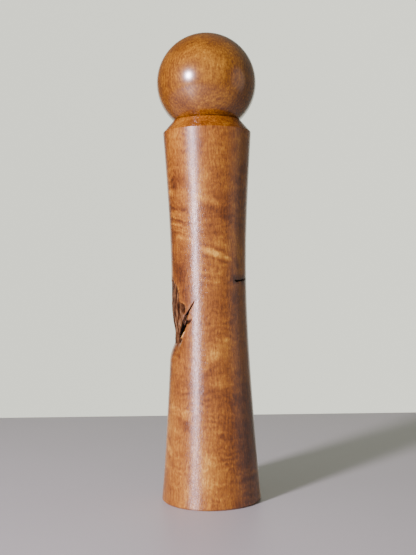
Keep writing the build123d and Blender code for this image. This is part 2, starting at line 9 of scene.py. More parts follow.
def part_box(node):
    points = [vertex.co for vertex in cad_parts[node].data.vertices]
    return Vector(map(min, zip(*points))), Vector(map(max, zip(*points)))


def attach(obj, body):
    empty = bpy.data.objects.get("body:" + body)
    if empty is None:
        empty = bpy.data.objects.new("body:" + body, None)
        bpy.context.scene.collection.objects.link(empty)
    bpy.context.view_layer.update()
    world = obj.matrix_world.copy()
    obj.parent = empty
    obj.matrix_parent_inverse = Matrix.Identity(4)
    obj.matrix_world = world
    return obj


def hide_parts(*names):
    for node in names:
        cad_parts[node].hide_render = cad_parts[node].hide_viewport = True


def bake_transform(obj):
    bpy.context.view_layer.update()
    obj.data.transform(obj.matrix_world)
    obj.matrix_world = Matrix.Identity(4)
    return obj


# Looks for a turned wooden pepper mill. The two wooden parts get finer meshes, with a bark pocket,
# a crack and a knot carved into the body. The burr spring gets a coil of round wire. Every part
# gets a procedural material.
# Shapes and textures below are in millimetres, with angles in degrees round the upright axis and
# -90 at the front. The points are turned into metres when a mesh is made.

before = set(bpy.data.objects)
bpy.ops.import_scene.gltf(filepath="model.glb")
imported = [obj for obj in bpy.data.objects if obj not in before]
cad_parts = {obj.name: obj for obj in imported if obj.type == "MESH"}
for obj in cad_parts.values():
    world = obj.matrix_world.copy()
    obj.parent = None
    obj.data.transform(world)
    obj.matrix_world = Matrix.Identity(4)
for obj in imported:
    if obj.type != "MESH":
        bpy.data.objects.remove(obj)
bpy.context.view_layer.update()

MM = 0.001

# ---- Turned outline, as in the CAD ----
BASE_R, FOOT_CHAMFER = 32.0, 1.1
LOWER_R, LOWER_Z = 27.8, 55.0
WAIST_R, WAIST_Z = 24.2, 145.0
SHOULDER_R, SHOULDER_Z = 28.3, 236.0
SEAT_R, SEAT_Z = 21.9, 243.5
BASE_SLOPE, SHOULDER_SLOPE = -0.11, 0.063
SHOULDER_ROUND, SEAT_ROUND, FOOT_ROUND, RIM_ROUND = 0.6, 0.4, 0.5, 0.4
HOPPER_R, MOUTH_CHAMFER = 14.6, 0.8
BORE_R, BORE_TOP = 18.2, 50.5
RECESS_R, RECESS_DEPTH = 24.0, 14.0
BALL_R, BALL_Z = 32.0, 268.0
HEAD_SEAT_Z, HEAD_SEAT_ROUND = 243.8, 0.25
TENON_R, TENON_BOTTOM, TENON_CHAMFER = 14.2, 235.8, 0.6
HEAD_BORE_R, HEAD_BORE_TOP = 11.0, 266.0

# ---- Burr spring: the middle of its coil, its wire and its number of turns ----
SPRING_R, WIRE_R, SPRING_COILS = 5.4, 0.4, 5


# ---- Small helpers for numbers ----
def clamp(x):
    """The nearest value from 0 to 1."""
    return min(max(x, 0.0), 1.0)


def smooth(x, low, high):
    """0 below low, 1 above high, and an S-curve between."""
    t = clamp((x - low) / (high - low))
    return t * t * (3 - 2 * t)


def along(points, x):
    """The value at x on straight runs through (x, value) points in rising order of x."""
    if x <= points[0][0]:
        return points[0][1]
    for (x0, y0), (x1, y1) in zip(points, points[1:]):
        if x <= x1:
            return y0 + (y1 - y0) * (x - x0) / (x1 - x0)
    return points[-1][1]


def clamped_spline(points, first_slope, last_slope):
    """A smooth curve through four (x, y) points with a known slope at each end, as a function."""
    (x0, y0), (x1, y1), (x2, y2), (x3, y3) = points
    h0, h1, h2 = x1 - x0, x2 - x1, x3 - x2
    r1 = 3 * ((y1 - y0) / h0**2 + (y2 - y1) / h1**2) - first_slope / h0
    r2 = 3 * ((y2 - y1) / h1**2 + (y3 - y2) / h2**2) - last_slope / h2
    a, b, c = 2 / h0 + 2 / h1, 1 / h1, 2 / h1 + 2 / h2
    m1 = (r1 * c - b * r2) / (a * c - b * b)
    m2 = (a * r2 - b * r1) / (a * c - b * b)
    slopes = (first_slope, m1, m2, last_slope)

    def value(x):
        i = 0 if x < x1 else 1 if x < x2 else 2
        (xa, ya), (xb, yb) = points[i], points[i + 1]
        h = xb - xa
        t = (x - xa) / h
        return (
            ya * (1 + 2 * t) * (1 - t) ** 2
            + yb * t * t * (3 - 2 * t)
            + slopes[i] * h * t * (1 - t) ** 2
            + slopes[i + 1] * h * t * t * (t - 1)
        )

    return value


# The body's outside radius at a height.
outer_radius = clamped_spline(
    [(FOOT_CHAMFER, BASE_R), (LOWER_Z, LOWER_R), (WAIST_Z, WAIST_R), (SHOULDER_Z, SHOULDER_R)],
    BASE_SLOPE,
    SHOULDER_SLOPE,
)


def graded(start, end, zones, coarse, growth):
    """Positions from start to end, closely spaced in each (low, high, step) zone and wider away
    from it, without a jump in spacing."""
    places = [start]
    while places[-1] < end:
        x = places[-1]
        step = coarse
        for low, high, fine in zones:
            away = max(low - x, x - high, 0.0)
            step = min(step, fine + growth * away)
        places.append(x + step)
    share = (end - start) / (places[-1] - start)
    return [start + (x - start) * share for x in places]


def rounded_corner(before, corner, after, radius, steps):
    """Points on an arc of that radius that replaces a corner of an outline."""
    corner = Vector(corner)
    a, b = (Vector(before) - corner).normalized(), (Vector(after) - corner).normalized()
    half = a.angle(b) / 2
    reach = radius / math.tan(half)
    centre = corner + (a + b).normalized() * radius / math.sin(half)
    start, end = corner + a * reach - centre, corner + b * reach - centre
    turn = start.angle_signed(end)
    made = []
    for i in range(steps + 1):
        at = start.copy()
        at.rotate(Matrix.Rotation(-turn * i / steps, 2))
        made.append(tuple(centre + at))
    return made


# ---- Natural faults: a bark pocket on the left, a crack beside it, a knot on the right ----
# Each group of faults lies between two angles and two heights.
LEFT_ZONE = (-219.0, -108.0, 88.0, 152.0)
KNOT_ZONE = (-56.0, -10.0, 137.0, 145.0)


def on_surface(angle, height):
    """A place on the waist's surface laid out flat, in millimetres."""
    return Vector((math.radians(angle) * WAIST_R, height))


# The bark's closed outline in angles and heights, and the depth of its floor at each height.
POCKET = [
    (-157.0, 141.2), (-155.0, 139.4), (-146.0, 138.0), (-142.5, 135.2), (-140.8, 131.0),
    (-140.6, 127.6), (-129.0, 126.2), (-125.5, 123.5), (-130.5, 119.3), (-135.6, 113.8),
    (-141.3, 107.4), (-143.0, 98.0), (-212.0, 98.0), (-215.0, 118.0), (-205.0, 133.0),
    (-190.0, 139.0), (-172.0, 142.5),
]
POCKET_FLOOR = [(100.0, 3.0), (108.0, 2.9), (112.0, 2.1), (116.0, 1.35), (122.0, 0.65), (150.0, 0.5)]

# The smooth hollow below the bark ends upwards at this lip, where it is deepest.
LIP = [
    (-214.0, 108.0), (-200.0, 102.4), (-185.0, 100.9), (-165.0, 100.7), (-150.0, 101.2),
    (-145.0, 102.4), (-141.0, 103.4), (-134.0, 105.2),
]
LIP_DEPTH, LIP_REACH, LIP_CURVE = 2.85, 11.0, 1.8

# Each point along a crack is an angle, a height, a half-width and a depth. The run and the rise
# give the crack's direction. A strand is wood left standing in the crack, with its depth below the
# surface. The bead stands proud by its last number.
CRACK = [
    (-111.0, 128.8, 0.10, 0.3), (-114.5, 126.6, 0.28, 0.9), (-118.4, 124.0, 0.42, 1.6),
    (-122.8, 121.4, 0.68, 2.4), (-127.0, 118.3, 1.35, 3.0), (-129.6, 115.0, 1.95, 3.8),
    (-133.0, 111.0, 2.05, 4.6), (-136.4, 108.0, 1.75, 5.0), (-139.6, 105.2, 1.40, 5.0),
    (-142.6, 103.0, 0.95, 4.0), (-145.6, 101.4, 0.30, 2.0),
]
CRACK_RUN, CRACK_RISE = 0.69, 0.72
STRANDS = [
    [(-123.6, 119.4, 0.15, 0.05), (-128.4, 114.8, 0.20, 0.10), (-133.2, 110.8, 0.10, 1.0)],
    [(-127.4, 119.2, 0.12, 0.08), (-131.8, 114.6, 0.17, 0.25), (-136.0, 110.8, 0.08, 1.6)],
]
BEAD = [(-130.2, 108.6, 0.75, 0.22), (-133.6, 106.2, 0.85, 0.30), (-136.8, 104.2, 0.65, 0.22)]
CHIP = [(-117.4, 116.9, 0.45, 0.35), (-120.4, 115.8, 1.05, 0.6), (-124.6, 114.8, 1.50, 0.9)]
KNOT = [
    (-47.5, 140.8, 0.15, 0.3), (-44.5, 140.4, 0.65, 0.9), (-38.0, 140.3, 0.62, 1.1),
    (-30.0, 140.6, 0.42, 1.1), (-13.0, 141.6, 0.22, 0.5),
]


# ---- Wood figure, and painted light and shade: light and dark patches along or across the grain ----
# Each is an angle and a height at both ends, a half-width, and how much lighter it makes the wood.
# The gain scales every amount, and a patch fades out at the spread times its half-width.
# Most patches are the wood's figure. Some are painted light and shade: a glint and highlight lines at
# the bark pocket, and broad shade and light.
FIGURE_AND_PAINTED_LIGHT = [
    # Left, above the waist.
    (-132.0, 232.0, -124.0, 208.0, 8.0, 0.10),
    (-146.0, 204.0, -126.0, 203.0, 4.5, -0.16),
    (-158.0, 197.0, -124.0, 195.0, 3.0, 0.12),
    (-160.0, 187.0, -121.0, 185.0, 1.8, -0.16),
    (-157.0, 183.4, -119.0, 181.6, 1.6, 0.10),
    (-158.0, 179.0, -130.0, 177.6, 1.8, -0.14),
    (-152.0, 175.0, -118.0, 172.4, 1.5, 0.14),
    (-160.0, 171.6, -136.0, 170.4, 1.6, -0.10),
    (-140.0, 168.0, -113.0, 166.0, 1.6, 0.16),
    (-160.0, 185.8, -122.0, 184.2, 0.5, 0.14),
    (-160.0, 181.0, -112.0, 178.8, 0.5, 0.20),
    (-158.0, 179.6, -116.0, 177.2, 0.5, -0.16),
    (-160.0, 176.6, -114.0, 174.6, 0.5, 0.18),
    (-156.0, 175.0, -120.0, 173.2, 0.5, -0.16),
    (-150.0, 172.4, -112.0, 169.8, 0.6, 0.20),
    (-154.0, 160.0, -136.0, 156.0, 6.0, 0.07),
    (-130.0, 158.0, -120.0, 152.0, 6.0, -0.12),
    # Front, above the waist and just below it.
    (-104.0, 191.5, -76.0, 189.0, 3.0, 0.17),
    (-100.0, 198.0, -92.0, 206.0, 4.5, 0.08),
    (-91.0, 184.5, -62.0, 181.6, 5.0, -0.11),
    (-84.0, 172.0, -66.0, 168.0, 5.5, -0.07),
    (-99.0, 161.0, -80.0, 157.4, 1.8, 0.32),
    (-80.0, 157.4, -56.0, 153.4, 1.4, 0.30),
    (-98.0, 164.0, -66.0, 158.0, 0.8, -0.12),
    (-92.0, 167.4, -70.0, 163.0, 1.0, 0.08),
    (-97.0, 157.2, -62.0, 151.2, 1.0, -0.14),
    (-106.0, 146.6, -72.0, 145.6, 0.7, 0.10),
    (-104.0, 143.8, -70.0, 142.9, 0.7, -0.09),
    (-106.0, 141.2, -74.0, 140.4, 0.7, 0.10),
    (-102.0, 138.6, -72.0, 137.8, 0.7, -0.08),
    # Round the bark pocket: pale lines of painted highlight along its rim, a painted glint beside the
    # crack's lower end, and a darker patch at the chip.
    (-148.0, 140.0, -140.8, 134.6, 0.6, 0.18),
    (-140.8, 134.6, -138.6, 130.0, 0.6, 0.12),
    (-138.8, 128.8, -127.5, 127.0, 0.6, 0.12),
    (-128.6, 109.6, -135.0, 104.2, 0.5, 0.45),
    (-118.6, 116.6, -121.4, 115.6, 1.5, -0.30),
    # Front and right, near the waist.
    (-80.0, 151.0, -60.0, 147.0, 4.0, -0.08),
    (-46.0, 153.0, -42.0, 150.0, 2.4, -0.17),
    (-98.0, 139.0, -80.0, 126.0, 7.0, -0.08),
    # Front, below the waist.
    (-106.0, 84.0, -84.0, 96.0, 4.6, 0.09),
    (-86.0, 96.0, -71.0, 101.0, 4.0, 0.10),
    (-99.0, 80.6, -76.0, 92.6, 1.6, -0.12),
    (-102.0, 77.2, -59.0, 76.6, 0.9, 0.18),
    (-78.0, 71.0, -60.0, 66.0, 5.0, -0.10),
    # Left, near the foot.
    (-148.0, 60.6, -120.0, 58.0, 3.4, 0.18),
    (-132.0, 54.6, -120.0, 50.0, 3.6, -0.12),
    (-161.0, 44.0, -152.0, 38.0, 2.0, -0.18),
    (-157.0, 37.0, -149.0, 33.0, 2.0, 0.16),
    (-155.0, 31.0, -143.0, 27.0, 2.2, -0.14),
    # Front and right, near the foot, with a broad light patch on the left.
    (-98.0, 46.0, -97.0, 10.0, 5.0, 0.10),
    (-62.0, 37.7, -54.0, 37.8, 0.8, -0.22),
    (-160.0, 25.0, -100.0, 25.0, 24.0, 0.06),
    (-36.0, 64.0, -34.0, 0.0, 16.0, -0.21),
    # Broad painted shade and painted light, with a darker band of painted shade at the shoulder, under
    # the ball.
    (-48.0, 225.0, -48.0, 70.0, 7.5, -0.07),
    (-165.0, 164.0, -142.0, 150.0, 8.0, -0.07),
    (-141.0, 147.0, -124.0, 131.0, 6.0, -0.22),
    (-160.0, 98.0, -130.0, 98.0, 6.0, -0.12),
    (-144.0, 216.0, -144.0, 160.0, 13.0, -0.08),
    (-170.0, 237.0, -10.0, 237.0, 2.6, -0.07),
    (-72.0, 192.0, -62.0, 178.0, 6.0, -0.10),
    (-158.0, 50.0, -128.0, 8.0, 9.0, 0.06),
    # Right, at the foot.
    (-54.0, 20.7, -12.0, 18.9, 1.8, 0.16),
    (-50.0, 17.0, -20.0, 15.4, 1.4, -0.12),
]
# The darker wood round the knot.
KNOT_HALO = [
    (-50.0, 141.2, -14.0, 141.0, 3.0, -0.28),
    (-50.0, 143.0, -48.0, 139.0, 1.2, -0.16),
    (-50.0, 131.0, -40.0, 104.0, 5.0, -0.08),
]
FIGURE_GAIN, FIGURE_SPREAD = 1.3, 1.5
HIDDEN_PATCHES = 44


def hidden_figure():
    """More patches of the same kinds, spread over the side that the front doesn't show."""
    pick = random.Random(23)
    made = []
    for _ in range(HIDDEN_PATCHES):
        angle, height = pick.uniform(-2.0, 98.0), pick.uniform(6.0, 232.0)
        length, rise = pick.uniform(6.0, 34.0), pick.uniform(-9.0, 6.0)
        half_width, amount = pick.uniform(1.4, 6.0), pick.uniform(-0.18, 0.18)
        made.append((angle, height, angle + length, height + rise, half_width, amount))
    return made


def figure_and_painted_light_at(angles, heights):
    """How much the patches lighten the wood at arrays of angles and heights."""
    across, total = numpy.radians(angles) * WAIST_R, numpy.zeros(len(angles))
    # Slow and quick waves keep the patches' edges from being straight.
    slow, quick = numpy.sin(across * 0.23 + heights * 0.11), numpy.sin(across * 0.9)
    bent = heights + 0.7 * slow + 0.22 * quick
    for a0, z0, a1, z1, half_width, amount in FIGURE_AND_PAINTED_LIGHT + KNOT_HALO + hidden_figure():
        p, q = on_surface(a0, z0), on_surface(a1, z1)
        along_x, along_y = q.x - p.x, q.y - p.y
        share = ((across - p.x) * along_x + (bent - p.y) * along_y) / (along_x**2 + along_y**2)
        share = numpy.clip(share, 0.0, 1.0)
        away = numpy.hypot(across - p.x - share * along_x, bent - p.y - share * along_y)
        near = numpy.clip(1.0 - away / (FIGURE_SPREAD * half_width), 0.0, 1.0)
        total += FIGURE_GAIN * amount * near * near * (3.0 - 2.0 * near)
    return total


def beside(run, place):
    """The nearest point on a run of (angle, height, half-width, depth) points: how far away it is
    in half-widths, and its depth."""
    best = (1e9, 0.0)
    for (a0, z0, w0, d0), (a1, z1, w1, d1) in zip(run, run[1:]):
        p, q = on_surface(a0, z0), on_surface(a1, z1)
        t = clamp((place - p).dot(q - p) / (q - p).length_squared)
        width = w0 + (w1 - w0) * t
        away = (place - p.lerp(q, t)).length / width
        if away < best[0]:
            best = (away, d0 + (d1 - d0) * t)
    return best


def inside_by(outline, place):
    """How far inside a closed outline of (angle, height) a place is; negative outside."""
    corners = [on_surface(*c) for c in outline]
    inside, nearest = False, 1e9
    for p, q in zip(corners, corners[1:] + corners[:1]):
        t = clamp((place - p).dot(q - p) / (q - p).length_squared)
        nearest = min(nearest, (place - p.lerp(q, t)).length)
        if (p.y > place.y) != (q.y > place.y):
            if place.x < p.x + (q.x - p.x) * (place.y - p.y) / (q.y - p.y):
                inside = not inside
    return nearest if inside else -nearest


def rough(place, scale, stretch, seed):
    """Rough noise from about -1 to 1, drawn out along the crack's direction."""
    across = place.x * CRACK_RISE - place.y * CRACK_RUN
    onward = place.x * CRACK_RUN + place.y * CRACK_RISE
    slanted = Vector((across, onward / stretch, seed))
    return noise.fractal(slanted * scale, 0.9, 2.1, 4, noise_basis="PERLIN_ORIGINAL")


def hollow(angle, height, lip):
    """The depth of the smooth hollow below the lip, which fades out at both ends of the lip."""
    sides = smooth(-angle, 127.0, 146.0) * smooth(angle, -217.0, -199.0)
    below = clamp(1 - (lip - height) / LIP_REACH)
    return LIP_DEPTH * sides * below**LIP_CURVE


def pocket(angle, height, place, wander):
    """The depth of the bark pocket above the lip, and how much the place is bark."""
    within = inside_by(POCKET, place + wander)
    if within <= 0:
        # There is a faint stain round the pocket, except towards the crack.
        return 0.0, 0.15 if within > -1.2 and angle < -146 else 0.0
    floor = along(POCKET_FLOOR, height)
    # The upper part gets thin where it runs round to the back.
    shallow = 1 - 0.75 * smooth(-angle, 168.0, 182.0) * smooth(height, 118.0, 127.0)
    edge = smooth(within, 0.0, 0.9)
    grain = 0.5 * rough(place, 0.5, 4.0, 1.0) + 0.22 * rough(place, 1.7, 3.0, 5.0)
    depth = edge * (floor * shallow + grain * smooth(floor, 0.2, 1.2) * 0.55 + 0.1)
    return max(depth, 0.0), smooth(within, 0.0, 0.5)


def crack(place, wander):
    """The depth of the crack. Its strands stand in it, with the wood falling away beside them."""
    away, deep = beside(CRACK, place + wander * 0.5)
    gash = deep * smooth(1.15 - away, 0.0, 0.55)
    for strand in STRANDS:
        near, level = beside(strand, place + wander * 0.25)
        if near < 2.0:
            gash = min(gash, level + 1.8 * smooth(near, 0.7, 2.0))
    return gash


def left_faults(angle, height):
    """The carving on the left: its depth, how much the place is bark, and how dark it is: painted shade
    in the crack, and a dark chip beside it.
    """
    place = on_surface(angle, height)
    wander = Vector((rough(place, 0.55, 1.0, 3.0), rough(place, 0.55, 1.0, 9.0))) * 0.45
    lip = along(LIP, angle)
    if height < lip:
        depth, bark = hollow(angle, height, lip), 0.0
    else:
        depth, bark = pocket(angle, height, place, wander)
    gash = crack(place, wander)
    away, deep = beside(CHIP, place + wander)
    chip = deep * smooth(1.1 - away, 0.0, 0.6)
    away, raised = beside(BEAD, place)
    bead = raised * smooth(1.0 - away, 0.0, 1.0)
    # Painted shade: the crack goes black with its depth. The chip beside it darkens with its depth too.
    dark = max(smooth(gash, 0.08, 0.75), 0.8 * smooth(chip, 0.1, 0.7))
    depth = max(depth, gash, chip) - (bead if gash < 0.2 else 0.0)
    return depth, bark, dark


def right_faults(angle, height):
    """The carving of the knot's crack on the right, as for the left."""
    place = on_surface(angle, height)
    wander = Vector((0.0, rough(place, 0.45, 1.0, 17.0))) * 0.5
    away, deep = beside(KNOT, place + wander)
    depth = deep * smooth(1.15 - away, 0.0, 0.6)
    # Painted shade: the knot's crack goes black with its depth.
    return depth, 0.0, smooth(depth, 0.1, 0.6)


def faults(angle, height):
    """The carving at any place on the outside, as for the left."""
    for zone, carve in ((LEFT_ZONE, left_faults), (KNOT_ZONE, right_faults)):
        if zone[0] < angle < zone[1] and zone[2] < height < zone[3]:
            return carve(angle, height)
    return 0.0, 0.0, 0.0


# ---- Meshes ----
def mesh_piece(name, points, faces, sharp=32.0):
    """A smooth-shaded object from points in millimetres, with edges sharper than that angle kept."""
    mesh = bpy.data.meshes.new(name)
    mesh.from_pydata([tuple(MM * x for x in p) for p in points], [], faces)
    mesh.validate()
    mesh.shade_smooth()
    mesh.set_sharp_from_angle(angle=math.radians(sharp))
    piece = bpy.data.objects.new(name, mesh)
    bpy.context.scene.collection.objects.link(piece)
    return piece


def body_outline():
    """The body's closed outline as (radius, height), from the foot up the outside and down the
    bores."""
    # The rows are closest at the crack, then at the pocket and the knot, then at the pale figure.
    zones = [(100.5, 129.0, 0.26), (96.0, 150.0, 0.42), (150.0, 190.0, 0.68)]
    heights = graded(FOOT_CHAMFER, SHOULDER_Z - SHOULDER_ROUND, zones, 2.6, 0.10)
    outside = [(outer_radius(z), z) for z in heights]
    foot_edge, shoulder_edge = (BASE_R - FOOT_CHAMFER, 0.0), (SHOULDER_R, SHOULDER_Z)
    foot = rounded_corner((RECESS_R, 0.0), foot_edge, outside[0], FOOT_ROUND, 3)
    heel = rounded_corner(foot_edge, outside[0], outside[1], FOOT_ROUND, 3)
    shoulder = rounded_corner(outside[-1], shoulder_edge, (SEAT_R, SEAT_Z), SHOULDER_ROUND, 5)
    seat = rounded_corner(shoulder_edge, (SEAT_R, SEAT_Z), (HOPPER_R, SEAT_Z), SEAT_ROUND, 4)
    slope_low, slope_high = Vector(shoulder[-1]), Vector(seat[0])
    bevel = [tuple(slope_low.lerp(slope_high, t)) for t in (0.2, 0.4, 0.6, 0.8)]
    rim_above = (RECESS_R, RECESS_DEPTH / 2)
    # Extra rows on the straight walls keep the faces short.
    bores = [
        (HOPPER_R + MOUTH_CHAMFER, SEAT_Z),
        (HOPPER_R, SEAT_Z - MOUTH_CHAMFER),
        *((HOPPER_R, z) for z in (200.0, 160.0, 120.0, 80.0)),
        (HOPPER_R, BORE_TOP),
        (BORE_R, BORE_TOP),
        (BORE_R, 32.0),
        (BORE_R, RECESS_DEPTH),
        (RECESS_R, RECESS_DEPTH),
        rim_above,
        *rounded_corner(rim_above, (RECESS_R, 0.0), (BASE_R, 0.0), RIM_ROUND, 3),
    ]
    return foot + heel + outside[1:] + shoulder + bevel + seat + bores


def make_body():
    """The wooden body, with its faults carved into the outside and marked as bark, and as dark: painted
    shade in the cracks and a dark chip.
    """
    # The columns are closest at the crack, then at the pocket and the knot.
    start = -230.0
    zones = [(-146.0, -110.0, 0.55), (-217.0, -146.0, 1.0), (-56.0, -10.0, 1.0)]
    angles = graded(start, start + 360.0, zones, 3.2, 0.10)[:-1]
    outline = body_outline()
    points, bark, dark = [], [], []
    for radius, height in outline:
        on_side = FOOT_CHAMFER < height < SHOULDER_Z
        outside = on_side and radius > outer_radius(height) - 0.01
        for angle in angles:
            depth, is_bark, is_dark = faults(angle, height) if outside else (0.0, 0.0, 0.0)
            reach = radius - depth
            turn = math.radians(angle)
            points.append((reach * math.cos(turn), reach * math.sin(turn), height))
            bark.append(is_bark)
            dark.append(is_dark)
    columns, rows = len(angles), len(outline)
    faces = []
    for i in range(rows):
        for j in range(columns):
            a, b = i * columns, ((i + 1) % rows) * columns
            k = (j + 1) % columns
            faces.append((a + j, a + k, b + k, b + j))
    piece = mesh_piece("body_wood", points, faces)
    heights = [height for _, height in outline]
    # The figure layer holds the wood's figure and also painted light and shade.
    figure_and_painted_light = figure_and_painted_light_at(numpy.tile(angles, rows), numpy.repeat(heights, columns))
    for name, values in (("bark", bark), ("dark", dark), ("figure_and_painted_light", figure_and_painted_light)):
        layer = piece.data.attributes.new(name, "FLOAT", "POINT")
        layer.data.foreach_set("value", values)
    return piece


def make_ball():
    """The ball head with its seat, tenon and blind bore."""
    seat_r = math.sqrt(BALL_R**2 - (BALL_Z - HEAD_SEAT_Z) ** 2)
    seat_turn = math.asin((HEAD_SEAT_Z - BALL_Z) / BALL_R)
    rows = 84
    sphere = []
    for i in range(1, rows + 1):
        turn = math.pi / 2 + (seat_turn - math.pi / 2) * i / rows
        sphere.append((BALL_R * math.cos(turn), BALL_Z + BALL_R * math.sin(turn)))
    seat_edge, seat_inside = (seat_r, HEAD_SEAT_Z), (TENON_R, HEAD_SEAT_Z)
    sphere[-1:] = rounded_corner(sphere[-2], seat_edge, seat_inside, HEAD_SEAT_ROUND, 3)
    outline = sphere + [
        (17.0, HEAD_SEAT_Z),
        seat_inside,
        (TENON_R, 240.0),
        (TENON_R, TENON_BOTTOM + TENON_CHAMFER),
        (TENON_R - TENON_CHAMFER, TENON_BOTTOM),
        (HEAD_BORE_R, TENON_BOTTOM),
        (HEAD_BORE_R, 250.0),
        (HEAD_BORE_R, HEAD_BORE_TOP),
        (HEAD_BORE_R / 2, HEAD_BORE_TOP),
    ]
    columns = 168
    points = [(0.0, 0.0, BALL_Z + BALL_R)]
    for radius, height in outline:
        for j in range(columns):
            turn = 2 * math.pi * j / columns
            points.append((radius * math.cos(turn), radius * math.sin(turn), height))
    points.append((0.0, 0.0, HEAD_BORE_TOP))
    faces = []
    for j in range(columns):
        k = (j + 1) % columns
        faces.append((0, 1 + j, 1 + k))
        for i in range(len(outline) - 1):
            a, b = 1 + i * columns, 1 + (i + 1) * columns
            faces.append((a + j, b + j, b + k, a + k))
        last = 1 + (len(outline) - 1) * columns
        faces.append((last + j, len(points) - 1, last + k))
    return mesh_piece("ball_wood", points, faces)


def make_spring():
    """The burr spring: an open coil of round wire, from the washer down to the auger's cup."""
    low, high = (corner[2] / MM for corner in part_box("burr_spring"))
    bottom, top = low + WIRE_R, high - WIRE_R
    per_coil, sides = 56, 16
    steps = SPRING_COILS * per_coil
    rise = (top - bottom) / (SPRING_COILS * 2.0 * math.pi)
    points, faces = [], []
    for i in range(steps + 1):
        turn = 2.0 * math.pi * i / per_coil
        outward = Vector((math.cos(turn), math.sin(turn), 0.0))
        forward = Vector((-SPRING_R * math.sin(turn), SPRING_R * math.cos(turn), rise)).normalized()
        upward = outward.cross(forward)
        centre = outward * SPRING_R + Vector((0.0, 0.0, bottom + rise * turn))
        for j in range(sides):
            around = 2.0 * math.pi * j / sides
            points.append(centre + WIRE_R * (math.cos(around) * outward + math.sin(around) * upward))
    for i in range(steps):
        for j in range(sides):
            a, b = i * sides + j, i * sides + (j + 1) % sides
            faces.append((a, a + sides, b + sides, b))
    faces.append(tuple(range(sides)))
    faces.append(tuple(reversed(range(steps * sides, (steps + 1) * sides))))
    spring = mesh_piece("coil_spring", points, faces, 50.0)
    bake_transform(spring)
    return spring


# ---- Colours, each list from dark to light ----
BODY_STOPS = [
    (0.0, (0.050, 0.011, 0.0014)),
    (0.25, (0.130, 0.034, 0.0032)),
    (0.50, (0.252, 0.082, 0.0074)),
    (0.75, (0.410, 0.168, 0.0160)),
    (1.0, (0.640, 0.340, 0.0480)),
]
BALL_STOPS = [
    (0.0, (0.034, 0.008, 0.0008)),
    (0.25, (0.105, 0.028, 0.0020)),
    (0.50, (0.215, 0.074, 0.0040)),
    (0.75, (0.370, 0.158, 0.0110)),
    (1.0, (0.600, 0.320, 0.0400)),
]
BARK_STOPS = [
    (0.32, (0.008, 0.003, 0.0015)),
    (0.46, (0.056, 0.021, 0.008)),
    (0.58, (0.152, 0.070, 0.027)),
    (0.72, (0.280, 0.160, 0.080)),
]
CERAMIC_STOPS = [
    (0.30, (0.70, 0.67, 0.60)),
    (0.55, (0.82, 0.80, 0.75)),
    (0.80, (0.88, 0.87, 0.83)),
]
FLOOR_STOPS = [(0.3, (0.50, 0.50, 0.49)), (0.7, (0.53, 0.53, 0.52))]
BODY_PORES, BALL_PORES = (0.115, 0.034, 0.008), (0.10, 0.030, 0.006)
# The crack's black is painted shade.
PAINTED_CRACK_SHADE, MATT_TINT = (0.006, 0.0035, 0.0025), (0.06, 0.05, 0.04)
WHITE = (1.0, 1.0, 1.0)


# ---- Material helpers ----
def feed(tree, socket, value):
    """Links an input to another node's socket, or sets its own value."""
    if isinstance(value, bpy.types.NodeSocket):
        tree.links.new(value, socket)
    else:
        socket.default_value = value


